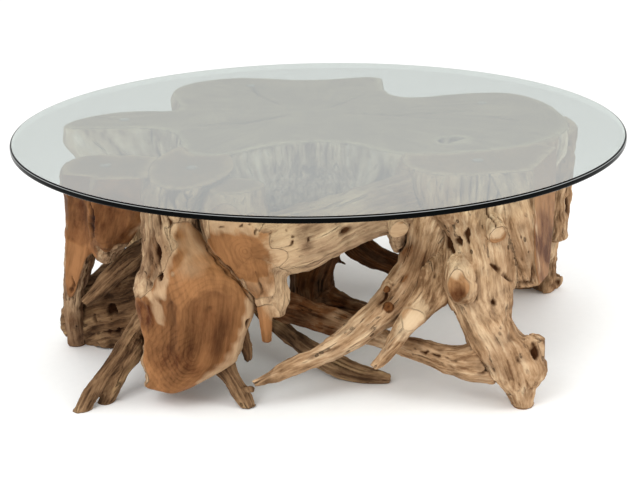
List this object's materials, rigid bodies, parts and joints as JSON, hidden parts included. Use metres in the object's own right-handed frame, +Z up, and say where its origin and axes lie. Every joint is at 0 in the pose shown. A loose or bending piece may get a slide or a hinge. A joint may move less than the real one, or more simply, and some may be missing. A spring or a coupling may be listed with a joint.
{
  "type": "root coffee table",
  "caption": "Low round coffee table: a thick clear glass top lies loose on a sculptural base pieced together from weathered and sanded teak roots.",
  "frame": {"origin": "on the floor under the centre of the round glass top", "axes": "+Z up; +X to the right of a viewer in front; the front is at -Y"},
  "size_m": [1.1998, 1.2, 0.4301],
  "materials": {
    "sanded_teak": "sanded and lightly oiled, growth rings showing",
    "bleached_teak": "brushed clean, pale and fissured",
    "weathered_teak": "weathered, left rough",
    "dowel_wood": "turned, glued in",
    "clear_pad": "soft clear silicone",
    "tempered_glass": "clear float glass with a polished edge"
  },
  "bodies": {
    "base": {"stump_crown": "bleached_teak", "right_front_leg": "bleached_teak", "front_left_block": "sanded_teak", "front_center_block": "sanded_teak", "brace_root": "bleached_teak", "left_slab_root": "sanded_teak", "right_panel_root": "bleached_teak", "right_end_root": "bleached_teak", "lower_cross_root": "weathered_teak", "spur_root": "bleached_teak", "left_panel_root": "weathered_teak", "left_stub_root": "weathered_teak", "front_left_leg": "weathered_teak", "front_middle_leg": "weathered_teak", "hanging_spike": "weathered_teak", "inner_center_leg": "weathered_teak", "low_curved_root": "weathered_teak", "rear_arch_root": "weathered_teak", "left_rear_leg": "weathered_teak", "rear_left_leg": "weathered_teak", "rear_center_leg": "weathered_teak", "rear_right_leg": "weathered_teak", "rear_cross_root": "weathered_teak", "joint_dowels": "dowel_wood", "glass_pads": "clear_pad"},
    "top": {"glass_top": "tempered_glass"}
  },
  "joints": [
    {"name": "glass_lift", "type": "slide", "parent": "base", "child": "top", "axis": [0, 0, 1], "range_m": [0, 0.25]}
  ]
}
